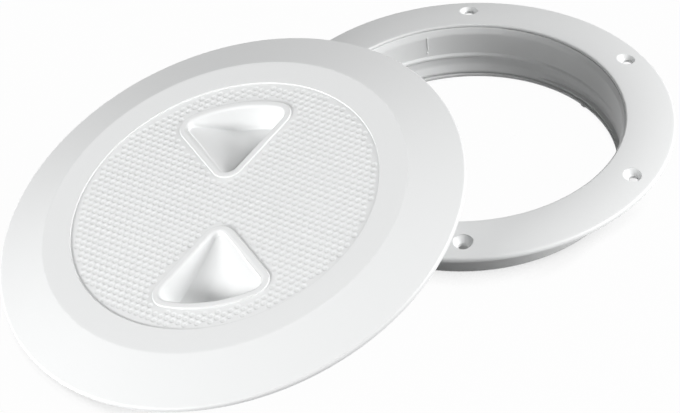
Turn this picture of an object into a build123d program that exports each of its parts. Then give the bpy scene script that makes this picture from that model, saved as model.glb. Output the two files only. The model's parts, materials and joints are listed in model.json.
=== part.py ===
from build123d import *
import math
import os

os.makedirs("parts", exist_ok=True)

# A round inspection hatch with a screw-in cover, for a deck, wall or panel.
# The origin is on the base ring's axis, in the plane of the flange's underside, and +Z points
# out of the panel. The ring stands on its spigot. The cover is taken off and leans on the ring,
# with its collar on the floor on one side and on the flange on the other.

# Base ring
opening_diameter = 152.0
seal_seat_width = 4.0
seal_seat_depth = 1.2
flange_width = 25.0
flange_thickness = 5.0
flange_crown = 3.2
flange_edge_rounding = 0.8
spigot_wall = 6.0
spigot_depth = 26.0
spigot_lead_in = 1.2

# Screws through the flange
screw_inset = 10.0
screw_count = 6
first_screw_angle = 30.0
screw_hole_diameter = 4.8
screw_head_diameter = 9.6
screw_head_angle = 90.0

# Room between bore and collar for the coarse screw thread's ridges
thread_height = 1.6
thread_clearance = 0.6

# Cover
cover_overhang = 13.0
cover_height = 10.8
lip_height = 2.2
lip_width = 2.4
shoulder_width = 25.5
rim_width = 14.3
plate_thickness = 3.0
disc_recess = 0.8
collar_depth = 17.0
collar_wall = 3.4
cover_edge_rounding = 0.8

# Finger pockets in the cover, one each side of its axis
pocket_apex = 16.0
pocket_margin = 16.2
pocket_half_angle = 35.0
pocket_corner_rounding = 5.0
pocket_depth = 15.0
pocket_draft = 10.0
pocket_floor_rounding = 4.0
pocket_wall = 2.6
pocket_border = 4.0
pocket_border_height = 0.8

# Seal on the cover's collar
seal_thickness = 5.0
seat_gap = 0.3

# Where the cover lies: the way from the ring's axis to the cover's axis, how far that axis is
# outside the flange, and how far the pockets are turned from the uphill way
cover_direction = 214.0
cover_offset = 31.2
cover_turn = 53.0

opening_radius = opening_diameter / 2
mouth_radius = opening_radius + seal_seat_width
flange_radius = mouth_radius + flange_width
spigot_radius = opening_radius + spigot_wall
screw_circle_radius = flange_radius - screw_inset
cover_radius = flange_radius + cover_overhang
cover_distance = flange_radius + cover_offset
shoulder_radius = cover_radius - shoulder_width
disc_radius = shoulder_radius - rim_width
pocket_reach = disc_radius - pocket_margin
collar_radius = opening_radius - thread_height - thread_clearance

# The flange's top is an arc that is level at the mouth and falls by flange_crown to the edge.
crown_radius = (flange_width ** 2 + flange_crown ** 2) / (2 * flange_crown)


def flange_top(radius):
    """Height of the flange's crowned top at a distance from the ring's axis."""
    return flange_thickness - crown_radius + math.sqrt(crown_radius ** 2 - (radius - mouth_radius) ** 2)


def lip_height_over_floor(lean):
    """Height of the centre of the lip's edge when the lip or the collar stands on the floor."""
    on_lip = cover_radius * math.sin(lean)
    on_collar = collar_radius * math.sin(lean) + collar_depth * math.cos(lean)
    return max(on_lip, on_collar)


def collar_gap(lean):
    """Least height of the collar's lower edges over the flange when the cover leans."""
    drop = spigot_depth + collar_depth * math.cos(lean) - lip_height_over_floor(lean)
    least = cover_radius
    for edge_radius in (collar_radius, collar_radius - collar_wall):
        for step in range(181):
            uphill = edge_radius * math.cos(math.radians(step))
            across = edge_radius * math.sin(math.radians(step))
            along = cover_distance - uphill * math.cos(lean) - collar_depth * math.sin(lean)
            radius = math.hypot(along, across)
            if mouth_radius <= radius <= flange_radius:
                least = min(least, uphill * math.sin(lean) - drop - flange_top(radius))
    return least


def seated_lean():
    """Angle at which the cover lies on the floor and its collar rests on the flange."""
    low = 0.0
    high = math.radians(60)
    for halving in range(40):
        middle = (low + high) / 2
        if collar_gap(middle) < seat_gap:
            low = middle
        else:
            high = middle
    return high


cover_lean = seated_lean()
heading = math.radians(cover_direction)
cover_axis = Vector(
    math.sin(cover_lean) * math.cos(heading),
    math.sin(cover_lean) * math.sin(heading),
    math.cos(cover_lean),
)
uphill_way = Vector(
    -math.cos(cover_lean) * math.cos(heading),
    -math.cos(cover_lean) * math.sin(heading),
    math.sin(cover_lean),
)
cover_origin = Vector(
    cover_distance * math.cos(heading),
    cover_distance * math.sin(heading),
    lip_height_over_floor(cover_lean) - spigot_depth,
)

# The cover's own frame: its origin is in the plane of the lip's edge, and +X goes through a pocket.
pocket_way = uphill_way.rotate(Axis((0, 0, 0), cover_axis), cover_turn)
cover_plane = Plane(origin=cover_origin, x_dir=pocket_way, z_dir=cover_axis)
cover_section = Plane(origin=cover_origin, x_dir=cover_plane.x_dir, z_dir=-cover_plane.y_dir)


# Base ring: flange, stepped mouth, bore and spigot in one section
with BuildPart() as base_ring:
    with BuildSketch(Plane.XZ) as ring_section:
        with BuildLine():
            crown = ThreePointArc(
                (mouth_radius, flange_thickness),
                (mouth_radius + flange_width / 2, flange_top(mouth_radius + flange_width / 2)),
                (flange_radius, flange_thickness - flange_crown),
            )
            Polyline(
                crown @ 1,
                (flange_radius, 0),
                (spigot_radius, 0),
                (spigot_radius, -spigot_depth),
                (opening_radius, -spigot_depth),
                (opening_radius, flange_thickness - seal_seat_depth),
                (mouth_radius, flange_thickness - seal_seat_depth),
                crown @ 0,
            )
        make_face()
        edge_corner = ring_section.vertices().sort_by_distance(
            (flange_radius, flange_thickness - flange_crown)
        )[0]
        fillet(edge_corner, radius=flange_edge_rounding)
        spigot_corner = ring_section.vertices().sort_by_distance((spigot_radius, -spigot_depth))[0]
        chamfer(spigot_corner, length=spigot_lead_in)
    revolve(axis=Axis.Z)
    with Locations(Plane.XY.offset(flange_top(screw_circle_radius))):
        with PolarLocations(screw_circle_radius, screw_count, start_angle=first_screw_angle):
            CounterSinkHole(
                radius=screw_hole_diameter / 2,
                counter_sink_radius=screw_head_diameter / 2,
                counter_sink_angle=screw_head_angle,
            )
base_ring.part.label = "base_ring"

# Levels of the cover over the plane of its lip's edge
disc_level = cover_height - disc_recess
plate_underside = cover_height - plate_thickness
pocket_floor = cover_height - pocket_depth


def draw_pockets(border):
    """Draw the mouths of both finger pockets, with a border round them."""
    side = math.radians(pocket_half_angle)
    side_length = (
        math.sqrt(pocket_reach ** 2 - (pocket_apex * math.sin(side)) ** 2)
        - pocket_apex * math.cos(side)
    )
    corner_x = pocket_apex + side_length * math.cos(side)
    corner_y = side_length * math.sin(side)
    with BuildLine() as mouth:
        Polyline((corner_x, -corner_y), (pocket_apex, 0), (corner_x, corner_y))
        ThreePointArc((corner_x, corner_y), (pocket_reach, 0), (corner_x, -corner_y))
    outline = make_face(mouth.edges())
    fillet(outline.vertices(), radius=pocket_corner_rounding)
    if border > 0:
        offset(amount=border)
    mirror(about=Plane.YZ)


# Cover: lip, sloping shoulder, rim, recessed disc and screw collar in one section
with BuildPart() as cover:
    with BuildSketch(cover_section) as shell_section:
        with BuildLine():
            Polyline(
                (0, disc_level),
                (disc_radius, disc_level),
                (disc_radius, cover_height),
                (shoulder_radius, cover_height),
                (cover_radius, lip_height),
                (cover_radius, 0),
                (cover_radius - lip_width, 0),
                (cover_radius - lip_width, lip_height - plate_thickness / 2),
                (shoulder_radius - plate_thickness / 2, plate_underside),
                (collar_radius, plate_underside),
                (collar_radius, -collar_depth),
                (collar_radius - collar_wall, -collar_depth),
                (collar_radius - collar_wall, disc_level - plate_thickness),
                (0, disc_level - plate_thickness),
                close=True,
            )
        make_face()
        lip_corner = shell_section.vertices().sort_by_distance((cover_radius, lip_height))[0]
        fillet(lip_corner, radius=cover_edge_rounding)
    revolve(axis=Axis(cover_origin, cover_axis))

    # The pockets' borders stand on the disc, and their cups hang under it.
    with BuildSketch(cover_plane.offset(disc_level)):
        draw_pockets(pocket_border)
    extrude(amount=pocket_border_height)
    with BuildSketch(cover_plane.offset(disc_level)):
        draw_pockets(pocket_wall)
    extrude(amount=pocket_floor - pocket_wall - disc_level, taper=pocket_draft)
    with BuildSketch(cover_plane.offset(disc_level + pocket_border_height)):
        draw_pockets(0)
    extrude(
        amount=pocket_floor - disc_level - pocket_border_height,
        taper=pocket_draft,
        mode=Mode.SUBTRACT,
    )
    pocket_middle = (pocket_apex + pocket_reach) / 2
    for side in (1, -1):
        floor_point = cover_plane.offset(pocket_floor).from_local_coords((side * pocket_middle, 0))
        floor_face = cover.faces().sort_by_distance(floor_point)[0]
        fillet(floor_face.edges(), radius=pocket_floor_rounding)
cover.part.label = "cover"

# Seal: an O-ring round the root of the collar, under the plate
with BuildPart() as seal_ring:
    with BuildSketch(cover_section):
        with Locations((
            collar_radius + seat_gap + seal_thickness / 2,
            plate_underside - seat_gap - seal_thickness / 2,
        )):
            Circle(seal_thickness / 2)
    revolve(axis=Axis(cover_origin, cover_axis))
seal_ring.part.label = "seal_ring"

export_step(base_ring.part, "parts/base_ring.step")
export_step(cover.part, "parts/cover.step")
export_step(seal_ring.part, "parts/seal_ring.step")
print("cover leans by", round(math.degrees(cover_lean), 2), "degrees")
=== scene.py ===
# %% [markdown]
# A round inspection hatch, in white moulded plastic
#
# The hatch is a base ring, which is screwed into a deck or a wall, and a cover that screws into
# the ring. Here the cover is off and leans on the ring. The loaded frame says where each piece
# is, so this script only dresses the pieces: it models their visible shapes more finely, gives
# them a finish, and sets up the light and the camera. Sizes are in millimetres and are turned to
# Blender's metres where they are used.

# %% Load the frame
import json
import math

import bmesh
import bpy
from mathutils import Matrix, Quaternion, Vector


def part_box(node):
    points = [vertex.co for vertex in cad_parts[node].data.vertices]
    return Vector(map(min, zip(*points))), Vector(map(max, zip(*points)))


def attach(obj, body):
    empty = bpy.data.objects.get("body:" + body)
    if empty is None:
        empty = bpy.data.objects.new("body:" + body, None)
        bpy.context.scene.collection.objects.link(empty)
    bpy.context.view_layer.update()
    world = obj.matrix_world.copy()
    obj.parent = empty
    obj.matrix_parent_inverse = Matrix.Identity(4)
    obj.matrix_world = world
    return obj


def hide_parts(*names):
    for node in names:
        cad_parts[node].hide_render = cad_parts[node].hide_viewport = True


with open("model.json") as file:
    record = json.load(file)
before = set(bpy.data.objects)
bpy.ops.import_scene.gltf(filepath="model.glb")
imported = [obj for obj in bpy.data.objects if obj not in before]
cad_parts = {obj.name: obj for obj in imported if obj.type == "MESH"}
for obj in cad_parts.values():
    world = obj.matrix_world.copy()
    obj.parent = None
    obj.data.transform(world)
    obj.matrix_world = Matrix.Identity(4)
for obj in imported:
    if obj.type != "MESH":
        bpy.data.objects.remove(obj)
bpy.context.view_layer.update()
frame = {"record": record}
MM = 0.001

# %% [markdown]
# Where the cover lies
#
# The record holds the cover's turning axis: a point in the plane of its lip's edge, and the way
# its outer face points. The pockets are turned from the uphill way by a known angle, so three
# directions give the cover's own frame. The cover is modelled flat at the world's origin, which
# is easy to think about, and then moved there by this matrix.

# %% The cover's own frame
turn_joint = next(j for j in frame["record"]["behaviour"]["joints"] if j["name"] == "cover_turn")
cover_origin = Vector(turn_joint["pos_m"])
cover_axis = Vector(turn_joint["axis"]).normalized()
pocket_turn = math.radians(53)
uphill = (Vector((0, 0, 1)) - cover_axis * cover_axis.z).normalized()
pocket_way = Quaternion(cover_axis, pocket_turn) @ uphill
cover_matrix = Matrix((pocket_way, cover_axis.cross(pocket_way), cover_axis)).transposed().to_4x4()
cover_matrix.translation = cover_origin
cover_lean = math.degrees(cover_axis.angle(Vector((0, 0, 1))))
floor_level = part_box("base_ring")[0][2]
print(f"the cover leans {cover_lean:.2f} degrees, the floor is at {floor_level / MM:.1f} mm")

# %% [markdown]
# Sizes
#
# These are the moulded sizes of the two parts, in millimetres. The ring's come first, then the
# cover's and its pockets'. Everything else is worked out from them.

# %% Sizes of the ring and the cover
opening_radius = 76.0
seat_width = 4.0
mouth_radius = opening_radius + seat_width
flange_radius = 105.0
flange_thickness = 5.0
flange_crown = 3.2
spigot_radius = 82.0
spigot_depth = 26.0
screw_circle_radius = 95.0
screw_count = 6
first_screw_angle = 30.0
cover_radius = 118.0
cover_height = 10.8
lip_height = 2.2
lip_width = 2.4
shoulder_radius = 92.5
disc_radius = 78.2
disc_recess = 0.8
plate_thickness = 3.0
collar_radius = 73.8
collar_wall = 3.4
collar_depth = 17.0
disc_level = cover_height - disc_recess
round_steps = 360

# %% [markdown]
# Small helpers for modelling
#
# An operator works on all that is selected, and loading the frame leaves its nodes selected, so
# each piece starts by deselecting everything. A section is drawn the way one draws it by hand:
# a plane is merged to one vertex, the vertex goes to the first corner, and it's extruded from
# corner to corner.

# %% Start, pick and end
def deselect_all():
    """Leaves edit mode if needed and deselects every object."""
    if bpy.context.object and bpy.context.object.mode != "OBJECT":
        bpy.ops.object.mode_set(mode="OBJECT")
    bpy.ops.object.select_all(action="DESELECT")


def take_only(obj):
    """Makes obj the one selected and active object."""
    deselect_all()
    obj.select_set(True)
    bpy.context.view_layer.objects.active = obj


def pick(obj, wanted, kind="VERT"):
    """In edit mode, selects only the vertices, edges or faces that wanted(element) accepts."""
    bpy.ops.mesh.select_mode(type=kind)
    bpy.ops.mesh.select_all(action="DESELECT")
    bm = bmesh.from_edit_mesh(obj.data)
    found = 0
    for element in {"VERT": bm.verts, "EDGE": bm.edges, "FACE": bm.faces}[kind]:
        if wanted(element):
            element.select_set(True)
            found += 1
    bm.select_flush_mode()
    bmesh.update_edit_mesh(obj.data)
    return found


def draw_section(name, corners, closed=True):
    """Draws a section through corners (x, z) in mm by extruding one vertex, and stays in edit mode."""
    deselect_all()
    bpy.ops.mesh.primitive_plane_add(size=MM)
    obj = bpy.context.object
    obj.name = name
    bpy.ops.object.mode_set(mode="EDIT")
    bpy.ops.mesh.select_mode(type="VERT")
    bpy.ops.mesh.select_all(action="SELECT")
    bpy.ops.mesh.merge(type="CENTER")
    x, z = corners[0]
    bpy.ops.transform.translate(value=(x * MM, 0, z * MM))
    for next_x, next_z in corners[1:]:
        step = ((next_x - x) * MM, 0, (next_z - z) * MM)
        bpy.ops.mesh.extrude_vertices_move(TRANSFORM_OT_translate={"value": step})
        x, z = next_x, next_z
    if closed:
        bpy.ops.mesh.select_all(action="SELECT")
        bpy.ops.mesh.edge_face_add()
    return obj


corner_reach = 0.02
double_reach = 0.002


def round_corners(obj, corners, radius, steps=4):
    """Rounds the section's corners that lie at the points given in mm."""
    def is_wanted(vertex):
        return any(math.hypot(vertex.co.x - x * MM, vertex.co.z - z * MM) < corner_reach * MM
                   for x, z in corners)

    pick(obj, is_wanted)
    bpy.ops.mesh.bevel(offset_type="OFFSET", offset=radius * MM, segments=steps, affect="VERTICES")


def spin_section(obj, steps=round_steps):
    """Spins the drawn section once round the Z axis and closes the seam."""
    bpy.ops.mesh.select_mode(type="VERT")
    bpy.ops.mesh.select_all(action="SELECT")
    bpy.ops.mesh.delete(type="ONLY_FACE")
    bpy.ops.mesh.select_all(action="SELECT")
    bpy.ops.mesh.spin(steps=steps, angle=math.tau, center=(0, 0, 0), axis=(0, 0, 1))
    bpy.ops.mesh.select_all(action="SELECT")
    bpy.ops.mesh.remove_doubles(threshold=double_reach * MM)
    bpy.ops.mesh.normals_make_consistent(inside=False)
    bpy.ops.object.mode_set(mode="OBJECT")


def join_all(name, objects):
    """Joins the objects into the first one and names it."""
    deselect_all()
    for obj in objects:
        obj.select_set(True)
    bpy.context.view_layer.objects.active = objects[0]
    if len(objects) > 1:
        bpy.ops.object.join()
    objects[0].name = name
    return objects[0]


large_faces_first = 100


def smooth(obj, sharp_degrees=35):
    """Shades round faces smooth and keeps flat faces flat next to their rounded edges."""
    take_only(obj)
    bpy.ops.object.shade_smooth_by_angle(angle=math.radians(sharp_degrees))
    bpy.ops.object.modifier_add(type="WEIGHTED_NORMAL")
    weighted = obj.modifiers[-1]
    weighted.weight = large_faces_first
    weighted.keep_sharp = True
    bpy.ops.object.modifier_apply(modifier=weighted.name)


def to_cover(obj):
    """Moves a piece from the world's origin to where the cover lies, into its mesh."""
    take_only(obj)
    obj.matrix_world = cover_matrix
    bpy.ops.object.transform_apply(location=True, rotation=True, scale=True)


def report(obj):
    """Prints how large a piece is and how many faces it has."""
    low = [min(v.co[i] for v in obj.data.vertices) / MM for i in range(3)]
    high = [max(v.co[i] for v in obj.data.vertices) / MM for i in range(3)]
    size = " x ".join(f"{h - l:.1f}" for l, h in zip(low, high))
    print(f"{obj.name}: {size} mm, {len(obj.data.polygons)} faces")


# %% [markdown]
# The base ring
#
# The ring is one moulding: a crowned flange with rounded edges, a steep cone inside the mouth
# where the seal sits, a plain wall, and a second cone down to the clear opening. All of it is
# round, so its section is drawn once and spun. A fine slot under the mouth and a groove near the
# foot each show as a dark line, because light doesn't reach into them.

# %% The ring's section
flange_width = flange_radius - mouth_radius
crown_radius = (flange_width ** 2 + flange_crown ** 2) / (2 * flange_crown)
crown_steps = 12
edge_rounding = 1.2
mouth_rounding = 1.1
slot_top = 3.8
slot_height = 0.5
slot_depth = 0.9
seat_top_radius = 79.7
seat_foot = 0.2
wall_radius = 78.3
cone_top = -18.9
cone_foot_level = -22.4
groove_top = -23.3
groove_height = 1.2
groove_depth = 1.2
lead_radius = 76.5
slot_edge_round = 0.25
wall_round = 0.8
groove_edge_round = 0.3
spigot_round = 0.5


def flange_top(radius):
    """Height of the flange's crowned top, which is level at the mouth and falls to the edge."""
    return flange_thickness - crown_radius + math.sqrt(crown_radius ** 2 - (radius - mouth_radius) ** 2)


crown = []
for step in range(crown_steps + 1):
    crown_at = mouth_radius + flange_width * step / crown_steps
    crown.append((crown_at, flange_top(crown_at)))
seat_top = (seat_top_radius, slot_top - slot_height)
seat_end = (wall_radius, seat_foot)
cone_start = (wall_radius, cone_top)
cone_end = (lead_radius, cone_foot_level)
ring_corners = crown + [
    (flange_radius, 0),
    (spigot_radius, 0),
    (spigot_radius, -spigot_depth),
    (opening_radius, -spigot_depth),
    (opening_radius, groove_top - groove_height),
    (lead_radius + groove_depth, groove_top - groove_height),
    (lead_radius + groove_depth, groove_top),
    (lead_radius, groove_top),
    cone_end,
    cone_start,
    seat_end,
    seat_top,
    (mouth_radius + slot_depth, slot_top - slot_height),
    (mouth_radius + slot_depth, slot_top),
    (mouth_radius, slot_top),
]
ring_body = draw_section("ring_body", ring_corners)
round_corners(ring_body, [crown[-1]], edge_rounding)
round_corners(ring_body, [crown[0]], mouth_rounding, 6)
round_corners(ring_body, [seat_top], slot_edge_round, 3)
round_corners(ring_body, [seat_end, cone_start], wall_round)
groove_foot = (opening_radius, groove_top - groove_height)
round_corners(ring_body, [cone_end, groove_foot], groove_edge_round, 3)
spigot_end = [(spigot_radius, -spigot_depth), (opening_radius, -spigot_depth)]
round_corners(ring_body, spigot_end, spigot_round, 3)
spin_section(ring_body)
report(ring_body)

# %% [markdown]
# Screw holes
#
# Six countersunk holes go through the flange. A cutter is the shape of the screw's head and
# shank, flared a little above the surface, with a small round where the cone meets the flange.
# It is spun once, copied round the screw circle and taken away from the ring with a Boolean.

# %% Cut the countersinks
def cut_away(obj, tool):
    """Takes the tool's shape away from obj and deletes the tool."""
    take_only(obj)
    bpy.ops.object.modifier_add(type="BOOLEAN")
    boolean = obj.modifiers[-1]
    boolean.object = tool
    boolean.operation = "DIFFERENCE"
    boolean.solver = "EXACT"
    bpy.ops.object.modifier_apply(modifier=boolean.name)
    bpy.data.objects.remove(tool)


hole_radius = 2.4
head_radius = 4.8
lead_round = 0.5
lead_rise = lead_round / 3
cutter_over = 2.0
cutter_steps = 48
screw_top = flange_top(screw_circle_radius)
cone_foot = screw_top - (head_radius - hole_radius)
cutter = draw_section("cutter", [
    (0, -cutter_over),
    (hole_radius, -cutter_over),
    (hole_radius, cone_foot),
    (head_radius, screw_top),
    (head_radius + lead_round, screw_top + lead_rise),
    (head_radius + lead_round, screw_top + cutter_over),
    (0, screw_top + cutter_over),
])
spin_section(cutter, cutter_steps)
cutters = []
for number in range(screw_count):
    angle = math.radians(first_screw_angle) + math.tau * number / screw_count
    copy = cutter.copy()
    copy.data = cutter.data.copy()
    bpy.context.collection.objects.link(copy)
    place = Matrix.Rotation(angle, 4, "Z") @ Matrix.Translation((screw_circle_radius * MM, 0, 0))
    copy.data.transform(place)
    cutters.append(copy)
all_cutters = join_all("all_cutters", cutters)
cut_away(ring_body, all_cutters)
bpy.data.objects.remove(cutter)
report(ring_body)

# %% [markdown]
# The coarse thread
#
# A hatch's thread is a low, wide ridge that still turns when it is gritty or icy. Its section is
# drawn at the wall and swept with the Screw modifier, which turns and climbs at once. At both
# ends the ridge sinks into the wall, as a cutter leaves it, and doesn't stop like a step. Its foot
# goes a little way into the wall, so that no gap shows there. The same helper makes the collar's
# ridges, and the cutter for the groove round the foot of the bore.

# %% A helper for a helical ridge
ridge_sink = 0.5
crest_round = 0.3
in_bore = 1
on_collar = -1


def helical_ridge(name, wall, side, start_angle, start_height, turns, lead, shape):
    """A ridge on a round wall of a radius in mm, which stands inwards in_bore, outwards on_collar.

    shape is (root width, crest width, height, run-out): three sizes in mm, and the part of a turn
    in which each end rises from the wall.
    """
    root, crest, height, run_out = shape
    crest_radius = wall - side * height
    crest_corners = [(crest_radius, -crest / 2), (crest_radius, crest / 2)]
    ridge = draw_section(name, [
        (wall + side * ridge_sink, -root / 2),
        (wall, -root / 2),
        *crest_corners,
        (wall, root / 2),
        (wall + side * ridge_sink, root / 2),
    ])
    round_corners(ridge, crest_corners, crest_round, 3)
    bpy.ops.mesh.select_all(action="SELECT")
    bpy.ops.mesh.delete(type="ONLY_FACE")
    take_only(ridge)
    bpy.ops.object.modifier_add(type="SCREW")
    screw = ridge.modifiers[-1]
    screw.angle = math.tau * turns
    screw.screw_offset = lead * turns * MM
    screw.steps = screw.render_steps = int(round(round_steps * turns))
    bpy.ops.object.modifier_apply(modifier=screw.name)
    bpy.ops.object.mode_set(mode="EDIT")
    pick(ridge, lambda edge: edge.is_boundary, "EDGE")
    bpy.ops.mesh.edge_face_add()
    bpy.ops.mesh.select_all(action="SELECT")
    bpy.ops.mesh.normals_make_consistent(inside=False)
    bpy.ops.object.mode_set(mode="OBJECT")
    for vertex in ridge.data.vertices:
        radius = math.hypot(vertex.co.x, vertex.co.y)
        out_of_wall = side * (wall * MM - radius)
        if out_of_wall > 0:
            # The height tells how many whole turns lie behind a vertex, and its angle the rest.
            part_turn = math.atan2(vertex.co.y, vertex.co.x) % math.tau / math.tau
            along = part_turn + round(vertex.co.z / (lead * MM) - part_turn)
            rise = max(0.0, min(1.0, along / run_out, (turns - along) / run_out))
            new_radius = wall * MM - side * out_of_wall * math.sin(rise * math.pi / 2)
            vertex.co.x *= new_radius / radius
            vertex.co.y *= new_radius / radius
    turn = Matrix.Rotation(math.radians(start_angle), 4, "Z")
    ridge.data.transform(Matrix.Translation((0, 0, start_height * MM)) @ turn)
    return ridge


# %% The thread in the ring's bore
thread_lead = 5.5
ridge_shape = (3.2, 1.0, 0.9, 0.12)
first_ridge = helical_ridge("bore_thread", wall_radius, in_bore, start_angle=15,
                            start_height=-14.65, turns=0.56, lead=thread_lead, shape=ridge_shape)
second_ridge = helical_ridge("second_ridge", wall_radius, in_bore, start_angle=200,
                             start_height=-14.6, turns=0.39, lead=thread_lead, shape=ridge_shape)
report(first_ridge)
report(second_ridge)

# %% The groove round the foot of the bore
groove_shape = (3.4, 2.2, 3.2, 0.12)
groove_inset = 0.5
groove_cutter = helical_ridge("groove_cutter", opening_radius - groove_inset, on_collar,
                              start_angle=-60, start_height=-22.5, turns=0.38, lead=thread_lead,
                              shape=groove_shape)
take_only(groove_cutter)
bpy.ops.object.mode_set(mode="EDIT")
print("the cutter's open edges", pick(groove_cutter, lambda edge: not edge.is_manifold, "EDGE"))
bpy.ops.object.mode_set(mode="OBJECT")
cut_away(ring_body, groove_cutter)
report(ring_body)

# %% [markdown]
# Small marks in the bore
#
# A thin raised bar with a dot under it shows where the cover's thread has to start, and a small
# tooth at the foot stops it. Each is a cube that is sized, bevelled and set into the wall.

# %% Model the marks
def wall_block(name, azimuth, height, size, radius, rounding):
    """A rounded block in the bore's wall: size is (into the wall, around, up) in mm."""
    deselect_all()
    bpy.ops.mesh.primitive_cube_add(size=MM)
    block = bpy.context.object
    block.name = name
    bpy.ops.object.mode_set(mode="EDIT")
    bpy.ops.mesh.select_all(action="SELECT")
    bpy.ops.transform.resize(value=size)
    bpy.ops.mesh.bevel(offset=rounding * MM, segments=2, affect="EDGES")
    bpy.ops.object.mode_set(mode="OBJECT")
    place = Matrix.Translation((radius * MM, 0, height * MM))
    block.data.transform(Matrix.Rotation(math.radians(azimuth), 4, "Z") @ place)
    return block


mark_sink = 0.35
tooth_sink = 0.3
mark_bar = wall_block("mark_bar", azimuth=106.2, height=-3.4, size=(1.2, 0.8, 8.0),
                      radius=wall_radius + mark_sink, rounding=0.15)
mark_dot = wall_block("mark_dot", azimuth=106.4, height=-9.3, size=(1.2, 0.9, 1.3),
                      radius=wall_radius + mark_sink, rounding=0.2)
stop_tooth = wall_block("stop_tooth", azimuth=38.5, height=-25.1, size=(2.0, 2.6, 1.6),
                        radius=opening_radius + tooth_sink, rounding=0.3)
bore_thread = join_all("bore_thread", [first_ridge, second_ridge, mark_bar, mark_dot, stop_tooth])
report(bore_thread)

# %% [markdown]
# The finger pockets
#
# Two pockets with a fan-shaped mouth let fingers turn the cover. Each has a raised border and is
# a scoop: one side is a steep wall that the fingers push, the other side slopes, and the floor
# gets deeper from the apex to the outer arc. The mouth's outline is worked out by a formula: two
# straight sides, an arc about the cover's middle and three rounded corners. A skin is extruded
# from one outline to the next, and each time every vertex moves to its place on the next outline.

# %% The outline of a pocket
pocket_apex = 16.0
pocket_reach = 62.0
pocket_side = math.radians(35)
pocket_corner = 5.0
least_corner = 2.6
corner_steps = 14
arc_steps = 40
side_steps = 10


def blend_points(start, end, count):
    """Evenly spaced points from start up to, but without, end."""
    return [start.lerp(end, step / count) for step in range(count)]


def arc_points(middle, radius, first, last, count):
    """Points on an arc from one angle up to, but without, the last."""
    angles = [first + (last - first) * step / count for step in range(count)]
    return [middle + radius * Vector((math.cos(a), math.sin(a))) for a in angles]


def pocket_outline(outwards):
    """Points in mm of the pocket's mouth, moved outwards by a distance."""
    corner = max(least_corner, pocket_corner + outwards)
    apex = Vector((pocket_apex - outwards / math.sin(pocket_side), 0))
    reach = pocket_reach + outwards
    along = Vector((math.cos(pocket_side), math.sin(pocket_side)))
    normal = Vector((-along.y, along.x))
    normal_angle = math.pi / 2 + pocket_side
    apex_middle = apex + Vector((corner / math.sin(pocket_side), 0))
    base = apex - corner * normal
    half = base.dot(along)
    far = half * half - base.dot(base) + (reach - corner) ** 2
    corner_middle = base + (math.sqrt(far) - half) * along
    corner_angle = math.atan2(corner_middle.y, corner_middle.x)
    low_middle = Vector((corner_middle.x, -corner_middle.y))
    flip = Vector((normal.x, -normal.y))
    points = arc_points(Vector((0, 0)), reach, -corner_angle, corner_angle, arc_steps)
    points += arc_points(corner_middle, corner, corner_angle, normal_angle, corner_steps)
    points += blend_points(corner_middle + corner * normal, apex_middle + corner * normal, side_steps)
    points += arc_points(apex_middle, corner, normal_angle, math.tau - normal_angle, corner_steps)
    points += blend_points(apex_middle + corner * flip, low_middle + corner * flip, side_steps)
    points += arc_points(low_middle, corner, -normal_angle, -corner_angle, corner_steps)
    return points


print("a pocket's mouth has", len(pocket_outline(0)), "points")

# %% A skin from outline to outline
def outline_skin(name, levels, side, close_end, height_in=None):
    """A skin through outlines given as (outwards, height) in mm, on the side 1 or -1 of the cover.

    Where a height is None, height_in(point, outwards) gives it for every point.
    """
    def place(level):
        outwards, height = level
        spots = []
        for point in pocket_outline(outwards):
            up = height_in(point, outwards) if height is None else height
            spots.append(Vector((side * point.x * MM, side * point.y * MM, up * MM)))
        return spots

    deselect_all()
    here = place(levels[0])
    bpy.ops.mesh.primitive_circle_add(vertices=len(here), radius=MM)
    skin = bpy.context.object
    skin.name = name
    bpy.ops.object.mode_set(mode="EDIT")
    bm = bmesh.from_edit_mesh(skin.data)
    bm.verts.ensure_lookup_table()
    for vertex, spot in zip(bm.verts, here):
        vertex.co = spot
    bmesh.update_edit_mesh(skin.data)
    for level in levels[1:]:
        there = place(level)
        bpy.ops.mesh.extrude_edges_move(TRANSFORM_OT_translate={"value": (0, 0, 0)})
        bm = bmesh.from_edit_mesh(skin.data)
        for vertex in [v for v in bm.verts if v.select]:
            nearest = min(range(len(here)), key=lambda k: (here[k] - vertex.co).length_squared)
            vertex.co = there[nearest]
        bmesh.update_edit_mesh(skin.data)
        here = there
    if close_end:
        bpy.ops.mesh.edge_face_add()
    bpy.ops.object.mode_set(mode="OBJECT")
    return skin


# %% [markdown]
# How deep the scoop is
#
# The depth under a point of the mouth comes from its distances to the three sides. The floor, the
# slope and the steep wall each give a depth, and the least of them counts. A plain minimum would
# leave sharp creases, so a soft one rounds them, as the pocket's mould is rounded.

# %% The scoop's depth
draft = 10.0
border_width = 4.0
border_height = 0.8
border_round = 0.5
mouth_round = 1.6
land_level = disc_level + border_height
apex_depth = 2.2
depth_growth = 0.366
deepest = 13.5
slope_steepness = 0.58
steep_foot = 2.5
arc_foot = 6.0
foot_change = 8.0
floor_blend = 3.0
least_room = 0.01


def soft_min(a, b, room):
    """The smaller of a and b, with a round where they are closer than room."""
    blend = max(room - abs(a - b), 0) / room
    return min(a, b) - blend * blend * room / 4


def wall_depth(inset):
    """Depth of the steep wall at an inset from where the mouth's rounding starts."""
    steep = math.radians(90 - draft)
    round_end = mouth_round * math.sin(steep)
    if inset < round_end:
        return mouth_round - math.sqrt(mouth_round ** 2 - inset ** 2)
    return mouth_round * (1 - math.cos(steep)) + (inset - round_end) * math.tan(steep)


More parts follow.
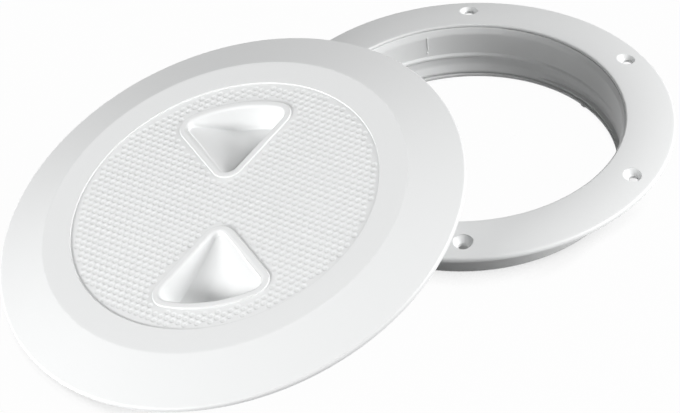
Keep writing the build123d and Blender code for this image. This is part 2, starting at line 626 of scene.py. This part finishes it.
def scoop_height(point, outwards):
    """Height in mm of the scoop at a point of the outline that is moved outwards.

    The foot of the wall is rounder along the arc than along the steep side.
    """
    x, y = point
    from_steep = (x - pocket_apex) * math.sin(pocket_side) + y * math.cos(pocket_side)
    from_slope = (x - pocket_apex) * math.sin(pocket_side) - y * math.cos(pocket_side)
    from_arc = pocket_reach - math.hypot(x, y)
    floor = soft_min(apex_depth + depth_growth * (x - pocket_apex), deepest, floor_blend)
    slope = max(0.0, slope_steepness * (from_slope + mouth_round))
    bowl = soft_min(floor, slope, floor_blend)
    share = min(1.0, max(0.0, (from_steep - from_arc) / foot_change + 0.5))
    foot = steep_foot + share * (arc_foot - steep_foot)
    wall = wall_depth(mouth_round - outwards)
    return land_level - max(0.0, soft_min(bowl, wall, min(foot, 2 * wall + least_room)))


# %% [markdown]
# The pockets' skins
#
# The top skin starts at the border's foot, goes over the border's rounded edge to its flat land,
# and from there down into the scoop, in steps that get longer towards the middle. The other skin
# is the cup, which hangs under the plate and holds the scoop. It has even drafted walls and a
# rounded foot, as a core in the mould would leave it.

# %% The border and the scoop
# A narrow flat band beside each round keeps the wide faces from being shaded like the round.
flat = 0.15


def turn_levels(middle_out, middle_height, radius, first, last, steps):
    """Levels on a round in the pocket's section, with angles in degrees from the outwards way."""
    levels = []
    for step in range(steps + 1):
        angle = math.radians(first + (last - first) * step / steps)
        levels.append((middle_out + radius * math.cos(angle), middle_height + radius * math.sin(angle)))
    return levels


border_out = border_width - border_round
mouth_turns = (0, 15, 30, 45, 60, 70, 80)
scoop_steps_end = 13.0
first_step = 0.12
step_growth = 1.2
top_levels = [(border_width + flat, disc_level), (border_width, disc_level)]
top_levels += turn_levels(border_out, land_level - border_round, border_round, 0, 90, 4)
top_levels += [(border_out - flat, land_level), (mouth_round + flat, land_level)]
for turned in mouth_turns:
    top_levels.append((mouth_round - mouth_round * math.sin(math.radians(turned)), None))
inset, next_step = mouth_round, first_step
while inset < scoop_steps_end:
    inset += next_step
    next_step *= step_growth
    top_levels.append((mouth_round - inset, None))
print("a pocket's skin has", len(top_levels), "outlines")

# %% The cups, and all four skins
pocket_depth = 15.0
pocket_wall = 2.6
cup_round = 6.5
draft_slope = math.tan(math.radians(draft))
plate_underside = disc_level - plate_thickness
cup_floor = cover_height - pocket_depth - pocket_wall
cup_top = pocket_wall - (land_level - plate_underside) * draft_slope
cup_middle = cup_floor + cup_round
cup_out = pocket_wall - (land_level - cup_middle) * draft_slope - cup_round
cup_levels = [(cup_top + flat, plate_underside), (cup_top, plate_underside)]
cup_levels += turn_levels(cup_out, cup_middle, cup_round, -draft, -90, 8)
cup_levels += [(cup_out - flat, cup_floor)]
pocket_skins = []
for side in (1, -1):
    pocket_skins.append(outline_skin("pocket_skin", top_levels, side, True, scoop_height))
    pocket_skins.append(outline_skin("cup_skin", cup_levels, side, True))
for skin in pocket_skins:
    report(skin)

# %% [markdown]
# The tread
#
# The disc has a non-slip tread of small round dimples. They stand in rows that shift by half a
# step, so that each dimple has six neighbours and the plastic between them is a fine net. One
# cell of the net is modelled: a hexagon in the disc's face, and inside it a ring of edges that is
# extruded down and drawn in to make the dimple. It's copied to every place that is clear of the
# disc's edge and of the borders, and neighbours are merged along their shared sides. A cell has
# few faces, because there are about a thousand.

# %% Model one cell of the tread
dimple_pitch = 3.64
dimple_radius = 1.5
dimple_depth = 0.33
cell_sides = 12
dimple_levels = ((0.8, 0.45), (0.45, 0.0))
cell_room = 0.1
row_offset = 1.0
cell_reach = dimple_pitch / math.sqrt(3)


def model_cell():
    """One cell of the tread, with its hexagon in the disc's face."""
    deselect_all()
    bpy.ops.mesh.primitive_circle_add(vertices=cell_sides, radius=dimple_pitch / 2 * MM)
    cell = bpy.context.object
    bpy.ops.object.mode_set(mode="EDIT")
    bpy.ops.mesh.select_all(action="SELECT")
    bpy.ops.transform.translate(value=(0, 0, disc_level * MM))

    def is_corner(vertex):
        return round(math.atan2(vertex.co.y, vertex.co.x) / math.tau * cell_sides) % 2 == 1

    pick(cell, is_corner)
    corner_scale = cell_reach / (dimple_pitch / 2)
    bpy.ops.transform.resize(value=(corner_scale, corner_scale, 1), center_override=(0, 0, 0))
    bpy.ops.mesh.select_all(action="SELECT")
    bpy.ops.mesh.extrude_edges_move(TRANSFORM_OT_translate={"value": (0, 0, 0)})
    bm = bmesh.from_edit_mesh(cell.data)
    for vertex in [v for v in bm.verts if v.select]:
        rim_scale = dimple_radius * MM / math.hypot(vertex.co.x, vertex.co.y)
        vertex.co.x *= rim_scale
        vertex.co.y *= rim_scale
    bmesh.update_edit_mesh(cell.data)
    radius = height = 1.0
    for next_radius, next_height in dimple_levels:
        sink = (0, 0, (next_height - height) * dimple_depth * MM)
        bpy.ops.mesh.extrude_edges_move(TRANSFORM_OT_translate={"value": sink})
        narrower = next_radius / radius
        bpy.ops.transform.resize(value=(narrower, narrower, 1), center_override=(0, 0, 0))
        radius, height = next_radius, next_height
    bpy.ops.mesh.edge_face_add()
    bpy.ops.object.mode_set(mode="OBJECT")
    return cell


border_line = pocket_outline(border_width)


def border_gap(x, y):
    """How far in mm a point of the disc is outside the nearer border, less than zero inside it."""
    point = Vector((abs(x), y))
    nearest = min(range(len(border_line)), key=lambda k: (border_line[k] - point).length_squared)
    along = border_line[(nearest + 1) % len(border_line)] - border_line[nearest - 1]
    outwards = Vector((along.y, -along.x))
    gap = (point - border_line[nearest]).length
    return math.copysign(gap, (point - border_line[nearest]).dot(outwards))


# %% Copy the cell over the disc
cell = model_cell()
row_step = dimple_pitch * math.sqrt(3) / 2
rows = int(disc_radius / row_step) + 1
clear = cell_reach + cell_room
cell_merge_reach = 0.02
bm = bmesh.new()
cell_count = 0
for row in range(-rows, rows + 1):
    for column in range(-rows, rows + 1):
        x = (column + 0.5 * (row % 2)) * dimple_pitch
        y = row * row_step + row_offset
        if math.hypot(x, y) < disc_radius - clear and border_gap(x, y) > clear:
            cell.data.transform(Matrix.Translation((x * MM, y * MM, 0)))
            bm.from_mesh(cell.data)
            cell.data.transform(Matrix.Translation((-x * MM, -y * MM, 0)))
            cell_count += 1
tread = bpy.data.objects.new("tread", bpy.data.meshes.new("tread"))
bm.to_mesh(tread.data)
bm.free()
bpy.context.collection.objects.link(tread)
bpy.data.objects.remove(cell)
take_only(tread)
bpy.ops.object.mode_set(mode="EDIT")
bpy.ops.mesh.select_all(action="SELECT")
bpy.ops.mesh.remove_doubles(threshold=cell_merge_reach * MM)
print("edges round the tread", pick(tread, lambda edge: edge.is_boundary, "EDGE"))
bpy.ops.object.mode_set(mode="OBJECT")
report(tread)
print("cells", cell_count)

# %% [markdown]
# The cover's shell
#
# Outside the disc the cover is round: a small step up from the disc to the rim, a flat rim, a
# shoulder that slopes to a rounded lip, and below it the plate's underside and the collar that
# goes into the ring. One open section gives all of that when it is spun. The disc is then filled
# in three strips, one round each border and one inside the disc's edge, and the plate's underside
# between the collar and the two cups. Fill goes wrong on edges of a fraction of a millimetre when
# they are written in metres, so the cover is a thousand times larger while it works.

# %% Spin the shell
step_round = 0.3
lip_round = 1.0
break_round = 0.6
lip_edge_round = 0.4
collar_end_round = 0.8
shell_corners = [
    (disc_radius, disc_level),
    (disc_radius, cover_height),
    (shoulder_radius, cover_height),
    (cover_radius, lip_height),
    (cover_radius, 0),
    (cover_radius - lip_width, 0),
    (cover_radius - lip_width, lip_height - plate_thickness / 2),
    (shoulder_radius - plate_thickness / 2, cover_height - plate_thickness),
    (collar_radius, cover_height - plate_thickness),
    (collar_radius, -collar_depth),
    (collar_radius - collar_wall, -collar_depth),
    (collar_radius - collar_wall, plate_underside),
]
shell = draw_section("cover_body", shell_corners, closed=False)
round_corners(shell, [(disc_radius, cover_height)], step_round, 3)
round_corners(shell, [(shoulder_radius, cover_height)], break_round, 3)
round_corners(shell, [(cover_radius, lip_height)], lip_round, 6)
round_corners(shell, [(cover_radius, 0), (cover_radius - lip_width, 0)], lip_edge_round, 3)
collar_end = [(collar_radius, -collar_depth), (collar_radius - collar_wall, -collar_depth)]
round_corners(shell, collar_end, collar_end_round, 3)
spin_section(shell)
report(shell)

# %% Join the cover and fill its faces
near_border = 5.5
level_reach = 0.01
cover_body = join_all("cover_body", [shell, tread] + pocket_skins)
bpy.ops.object.mode_set(mode="EDIT")


def fill_strip(level, inside):
    """Fills the face at a level between the open edges that inside(middle in mm) accepts."""
    def wanted(edge):
        middle = (edge.verts[0].co + edge.verts[1].co) / (2 * MM)
        on_level = all(abs(v.co.z - level * MM) < level_reach * MM for v in edge.verts)
        return edge.is_boundary and on_level and inside(middle)

    found = pick(cover_body, wanted, "EDGE")
    bpy.ops.transform.resize(value=(1 / MM, 1 / MM, 1 / MM), center_override=(0, 0, 0))
    bpy.ops.mesh.fill(use_beauty=True)
    bpy.ops.transform.resize(value=(MM, MM, MM), center_override=(0, 0, 0))
    print("filled a strip between", found, "edges")


for side in (1, -1):
    fill_strip(disc_level, lambda m: m.x * side > 0 and border_gap(m.x, m.y) < near_border)
fill_strip(disc_level, lambda m: border_gap(m.x, m.y) >= near_border)
fill_strip(plate_underside, lambda m: True)
bpy.ops.mesh.select_all(action="SELECT")
bpy.ops.mesh.remove_doubles(threshold=double_reach * MM)
bpy.ops.mesh.normals_make_consistent(inside=False)
open_edges = pick(cover_body, lambda edge: not edge.is_manifold, "EDGE")
bpy.ops.object.mode_set(mode="OBJECT")
report(cover_body)
print("open edges", open_edges)

# %% [markdown]
# The ridges on the collar
#
# Two ridges, half a turn apart, climb round the collar. They come from the same helper. They are
# hidden while the cover leans on the ring, so their height and their lead are a guess.

# %% The ridges on the cover's collar
collar_shape = (3.0, 1.2, 1.5, 0.05)
collar_lead = 14.0
collar_ridges = []
for start_angle in (20, 200):
    collar_ridges.append(helical_ridge("collar_thread", collar_radius, on_collar, start_angle,
                                       start_height=-13.5, turns=0.4, lead=collar_lead,
                                       shape=collar_shape))
collar_thread = join_all("collar_thread", collar_ridges)
report(collar_thread)

# %% [markdown]
# The seal
#
# An O-ring of black rubber sits at the root of the collar, where it would be pressed on the
# ring's seat. Its round section is drawn corner by corner and spun like the other sections.

# %% Model the seal
seal_thickness = 5.0
seat_gap = 0.3
seal_corner_count = 28
seal_steps = 240
seal_radius = seal_thickness / 2
seal_out = collar_radius + seat_gap + seal_radius
seal_height = cover_height - plate_thickness - seat_gap - seal_radius
seal_corners = []
for number in range(seal_corner_count):
    angle = math.tau * (number + 0.5) / seal_corner_count
    seal_corners.append((seal_out + seal_radius * math.cos(angle),
                         seal_height + seal_radius * math.sin(angle)))
seal = draw_section("seal", seal_corners)
spin_section(seal, seal_steps)
report(seal)

# %% [markdown]
# Finishes
#
# Both mouldings are white ABS, moulded in a finely sparked tool, which leaves a satin surface.
# The eye sees soft highlights and, close up, a faint grain. Colours are written as sRGB hex
# values, the way a colour picker shows them, and one function turns them to linear.

# %% Material helpers
def linear(hex_colour):
    """An sRGB hex colour as linear RGBA."""
    channels = [int(hex_colour[i:i + 2], 16) / 255 for i in (1, 3, 5)]
    return [c / 12.92 if c <= 0.04045 else ((c + 0.055) / 1.055) ** 2.4 for c in channels] + [1.0]


def add_node(tree, kind, settings=None, links=None):
    """Adds a node, sets its values by name and links its inputs to other nodes' outputs."""
    node = tree.nodes.new(kind)
    for name, value in (settings or {}).items():
        if name in node.inputs:
            node.inputs[name].default_value = value
        else:
            setattr(node, name, value)
    for name, source in (links or {}).items():
        tree.links.new(source, node.inputs[name])
    return node


def new_material(name):
    """An empty material with an output node."""
    material = bpy.data.materials.new(name)
    material.use_nodes = True
    material.node_tree.nodes.clear()
    output = add_node(material.node_tree, "ShaderNodeOutputMaterial")
    return material, material.node_tree, output


# %% [markdown]
# Satin white ABS
#
# A sparked mould is covered with tiny craters, so the moulding has a fine matt grain: highlights
# spread out softly, and a part never looks quite the same all over. The grain is a small bump,
# and a slow noise moves the roughness a little up and down.

# %% The mouldings' finish
grain_size = 0.4
grain_height = 0.05
grain_strength = 0.06
flow_size = 40.0
gloss_spread = 0.04


def satin_abs(name, colour, roughness):
    """White ABS from a sparked mould, whose grain is drawn coarse enough to show."""
    material, tree, output = new_material(name)
    place = add_node(tree, "ShaderNodeTexCoord")
    grain = add_node(tree, "ShaderNodeTexNoise",
                     {"Scale": 1 / (grain_size * MM), "Detail": 1.0},
                     {"Vector": place.outputs["Object"]})
    flow = add_node(tree, "ShaderNodeTexNoise",
                    {"Scale": 1 / (flow_size * MM), "Detail": 2.0},
                    {"Vector": place.outputs["Object"]})
    gloss = add_node(tree, "ShaderNodeMapRange",
                     {"To Min": roughness - gloss_spread, "To Max": roughness + gloss_spread},
                     {"Value": flow.outputs["Fac"]})
    bump = add_node(tree, "ShaderNodeBump",
                    {"Strength": grain_strength, "Distance": grain_height * MM},
                    {"Height": grain.outputs["Fac"]})
    shader = add_node(tree, "ShaderNodeBsdfPrincipled",
                      {"Base Color": linear(colour), "IOR": 1.5},
                      {"Roughness": gloss.outputs["Result"], "Normal": bump.outputs["Normal"]})
    tree.links.new(shader.outputs["BSDF"], output.inputs["Surface"])
    return material


white_abs = satin_abs("white_abs", colour="#EFF0F0", roughness=0.42)
print(white_abs.name)

# %% [markdown]
# Nitrile rubber
#
# The seal is black nitrile rubber, moulded and not polished. Carbon black makes it very dark, and
# its fine pores keep the highlights dull.

# %% The seal's finish
pore_size = 0.3
pore_depth = 0.05
pore_strength = 0.2


def nitrile_rubber(name):
    """Matt black rubber with fine pores."""
    material, tree, output = new_material(name)
    place = add_node(tree, "ShaderNodeTexCoord")
    pores = add_node(tree, "ShaderNodeTexNoise",
                     {"Scale": 1 / (pore_size * MM), "Detail": 2.0},
                     {"Vector": place.outputs["Object"]})
    bump = add_node(tree, "ShaderNodeBump",
                    {"Strength": pore_strength, "Distance": pore_depth * MM},
                    {"Height": pores.outputs["Fac"]})
    shader = add_node(tree, "ShaderNodeBsdfPrincipled",
                      {"Base Color": linear("#1B1B1D"), "Roughness": 0.6, "IOR": 1.52},
                      {"Normal": bump.outputs["Normal"]})
    tree.links.new(shader.outputs["BSDF"], output.inputs["Surface"])
    return material


seal_rubber = nitrile_rubber("nitrile_rubber")
print(seal_rubber.name)

# %% [markdown]
# Seating the pieces
#
# Each piece gets its finish, rides on the body that carries it, and hides the node of the
# frame that it stands for.

# %% Finish, seat and ride
def seat_piece(obj, body, material, node=None, on_cover=False, sharp=35):
    """Shades a piece, places it, gives it its finish and hands it to its body."""
    smooth(obj, sharp)
    if on_cover:
        to_cover(obj)
    obj.data.materials.clear()
    obj.data.materials.append(material)
    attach(obj, body)
    if node:
        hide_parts(node)


seat_piece(ring_body, "ring", white_abs, node="base_ring")
seat_piece(bore_thread, "ring", white_abs, sharp=50)
seat_piece(cover_body, "cover", white_abs, node="cover", on_cover=True)
seat_piece(collar_thread, "cover", white_abs, on_cover=True, sharp=50)
seat_piece(seal, "seal", seal_rubber, node="seal_ring", on_cover=True)

# %% [markdown]
# Floor and backdrop
#
# The floor is matt, and white to the camera and to reflections, so the hatch stands on plain
# white and keeps a faint shadow. That white comes from Light Path, so the lamps can stay low and
# the pale plastic keeps its shades. Deep under the flange, where light hardly gets, Ambient
# Occlusion dims that white to a painted shade.

# %% The floor
floor_size_m = 8.0
floor_gap = 0.1
white_share = 0.98
shadow_reach = 30.0
painted_shadow_range = {"From Min": 0.2, "From Max": 0.45, "To Min": 0.2, "To Max": 1.0}


def studio_floor(name):
    """Matt white, mixed for the camera and for reflections with plain white that Ambient Occlusion dims
    to a painted shade deep under the flange.
    """
    material, tree, output = new_material(name)
    path = add_node(tree, "ShaderNodeLightPath")
    matt = add_node(tree, "ShaderNodeBsdfDiffuse", {"Color": linear("#A0A0A0")})
    # Ambient Occlusion dims the white emission to a painted shade deep under the flange.
    hidden = add_node(tree, "ShaderNodeAmbientOcclusion", {"samples": 8, "Distance": shadow_reach * MM})
    shade = add_node(tree, "ShaderNodeMapRange", painted_shadow_range, {"Value": hidden.outputs["AO"]})
    white = add_node(tree, "ShaderNodeEmission", {"Color": (1, 1, 1, 1)},
                     {"Strength": shade.outputs["Result"]})
    seen = add_node(tree, "ShaderNodeMath", {"operation": "MAXIMUM"})
    tree.links.new(path.outputs["Is Camera Ray"], seen.inputs[0])
    tree.links.new(path.outputs["Is Glossy Ray"], seen.inputs[1])
    share = add_node(tree, "ShaderNodeMath", {"operation": "MULTIPLY"})
    tree.links.new(seen.outputs[0], share.inputs[0])
    share.inputs[1].default_value = white_share
    mix = add_node(tree, "ShaderNodeMixShader", None, {"Fac": share.outputs[0]})
    tree.links.new(matt.outputs[0], mix.inputs[1])
    tree.links.new(white.outputs[0], mix.inputs[2])
    tree.links.new(mix.outputs[0], output.inputs["Surface"])
    return material


deselect_all()
bpy.ops.mesh.primitive_plane_add(size=floor_size_m, location=(0, 0, 0))
floor = bpy.context.object
floor.name = "studio_floor"
floor.data.transform(Matrix.Translation((0, 0, floor_level - floor_gap * MM)))
floor.data.materials.append(studio_floor("matt_white_floor"))
print("the floor is", floor_size_m, "m wide")

# %% The world
world_light = 0.11


def studio_world():
    """Plain white to the camera, and a soft grey light on everything else."""
    world = bpy.data.worlds.new("studio")
    world.use_nodes = True
    tree = world.node_tree
    tree.nodes.clear()
    output = add_node(tree, "ShaderNodeOutputWorld")
    path = add_node(tree, "ShaderNodeLightPath")
    light = add_node(tree, "ShaderNodeBackground", {"Color": (1, 1, 1, 1), "Strength": world_light})
    white = add_node(tree, "ShaderNodeBackground", {"Color": (1, 1, 1, 1), "Strength": 1.0})
    mix = add_node(tree, "ShaderNodeMixShader", None, {"Fac": path.outputs["Is Camera Ray"]})
    tree.links.new(light.outputs[0], mix.inputs[1])
    tree.links.new(white.outputs[0], mix.inputs[2])
    tree.links.new(mix.outputs[0], output.inputs["Surface"])
    bpy.context.scene.world = world


studio_world()
print("world light", world_light)

# %% [markdown]
# Lamps
#
# Two softboxes stand low on the left and graze the flange, so its crown and the ring's bore are
# modelled by the light. Two more stand higher on the right and fill the slopes that face them.
# All are the same size and equally far away, so each is told only a direction and a power.

# %% Four softboxes
lamp_aim = Vector((-0.061, -0.061, 0.0))
lamp_distance = 1.6
lamp_size = (0.9, 0.45)


def soft_lamp(name, azimuth, elevation, power):
    """A softbox that looks at the hatch from an azimuth and an elevation, in degrees."""
    deselect_all()
    bpy.ops.object.light_add(type="AREA")
    lamp = bpy.context.object
    lamp.name = name
    lamp.data.shape = "RECTANGLE"
    lamp.data.size, lamp.data.size_y = lamp_size
    lamp.data.energy = power
    around = math.radians(azimuth)
    up = math.radians(elevation)
    way = Vector((math.cos(up) * math.cos(around), math.cos(up) * math.sin(around), math.sin(up)))
    lamp.location = lamp_aim + lamp_distance * way
    lamp.rotation_euler = way.to_track_quat("Z", "Y").to_euler()
    print(name, power, "W at", [round(v, 3) for v in lamp.location])


soft_lamp("left_back_softbox", azimuth=195, elevation=10, power=13.0)
soft_lamp("left_front_softbox", azimuth=222, elevation=14, power=15.9)
soft_lamp("right_low_softbox", azimuth=0, elevation=25, power=16.4)
soft_lamp("right_high_softbox", azimuth=352, elevation=47, power=11.0)

# %% [markdown]
# Camera
#
# A product photo like this is taken from about a metre and a quarter away with a long lens. The
# place and the aim came from fitting the ring's circles, and the camera is rolled a little. Its
# focal length is written in pixels of the picture and turned to millimetres for the sensor.

# %% Place the camera
camera_place = Vector((0.04924, -0.99612, 0.77957))
camera_aim = Vector((-0.06077, -0.06145, 0.0))
camera_roll = math.radians(-5.64)
focal_length_px = 2500.0
picture_width_px = 680.0
sensor_width_mm = 36.0
deselect_all()
bpy.ops.object.camera_add(location=camera_place)
camera = bpy.context.object
camera.data.sensor_width = sensor_width_mm
camera.data.lens = focal_length_px / picture_width_px * sensor_width_mm
aim_turn = (camera_aim - camera_place).to_track_quat("-Z", "Y")
camera.rotation_mode = "QUATERNION"
camera.rotation_quaternion = aim_turn @ Quaternion((0, 0, 1), camera_roll)
bpy.context.scene.camera = camera
bpy.context.scene.view_settings.view_transform = "Standard"
print("lens", round(camera.data.lens, 2), "mm")

# %% [markdown]
# The end
#
# The view layer is brought up to date, and then the frame takes over.

# %% The end
bpy.context.view_layer.update()
